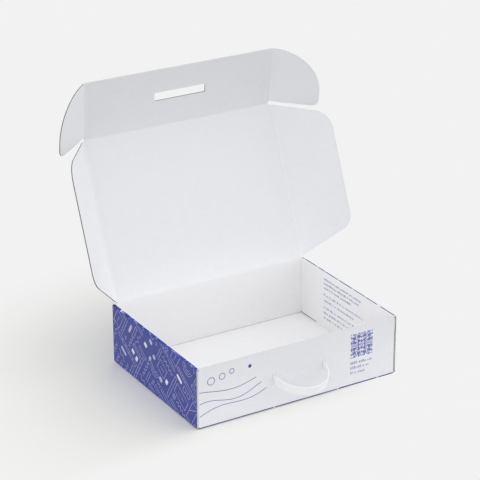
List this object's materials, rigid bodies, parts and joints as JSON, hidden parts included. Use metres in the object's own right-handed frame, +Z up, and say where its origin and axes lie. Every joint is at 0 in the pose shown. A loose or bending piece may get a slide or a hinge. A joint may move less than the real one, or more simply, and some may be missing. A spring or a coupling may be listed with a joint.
{
  "type": "corrugated mailer box",
  "caption": "Roll-end corrugated mailer box standing open, with a hinged lid, side flaps, a slotted tuck flap with ears, and a plastic carry handle on the front wall.",
  "frame": {"origin": "middle of the tray's underside", "axes": "+X to the right, -Y out of the front wall with the handle, +Z up"},
  "size_m": [0.4256, 0.3697, 0.3937],
  "materials": {
    "board": "matte",
    "strap": "satin",
    "print_blue": "satin",
    "raw_edge": "matte"
  },
  "bodies": {
    "tray": {"tray": "board"},
    "lid": {"lid": "board"},
    "lid_side_flap_left": {"lid_side_flap_left": "board"},
    "lid_side_flap_right": {"lid_side_flap_right": "board"},
    "tuck_flap": {"tuck_flap": "board"},
    "tuck_ear_left": {"tuck_ear_left": "board"},
    "tuck_ear_right": {"tuck_ear_right": "board"},
    "handle": {"handle": "strap"}
  },
  "joints": [
    {"name": "lid_crease", "type": "hinge", "parent": "tray", "child": "lid", "pos_m": [0, 0.11825, 0.09095], "axis": [1, 0, 0], "range_deg": [-67.5, 58]},
    {"name": "side_flap_left_crease", "type": "hinge", "parent": "lid", "child": "lid_side_flap_left", "pos_m": [-0.15425, 0.11825, 0.09095], "axis": [0, 0.3827, 0.9239], "range_deg": [-50, 40]},
    {"name": "side_flap_right_crease", "type": "hinge", "parent": "lid", "child": "lid_side_flap_right", "pos_m": [0.15425, 0.11825, 0.09095], "axis": [0, -0.3827, -0.9239], "range_deg": [-47.5, 42.5]},
    {"name": "tuck_crease", "type": "hinge", "parent": "lid", "child": "tuck_flap", "pos_m": [0, 0.20742, 0.30621], "axis": [1, 0, 0], "range_deg": [-29, 27]},
    {"name": "ear_left_crease", "type": "hinge", "parent": "tuck_flap", "child": "tuck_ear_left", "pos_m": [-0.15255, 0.20742, 0.30621], "axis": [0, -0.1132, 0.9936], "range_deg": [-37, 53]},
    {"name": "ear_right_crease", "type": "hinge", "parent": "tuck_flap", "child": "tuck_ear_right", "pos_m": [0.15255, 0.20742, 0.30621], "axis": [0, 0.1132, -0.9936], "range_deg": [-38.5, 51.5]},
    {"name": "handle_swing", "type": "hinge", "parent": "tray", "child": "handle", "pos_m": [0, -0.11825, 0.0445], "axis": [-1, 0, 0], "range_deg": [0, 28]}
  ]
}
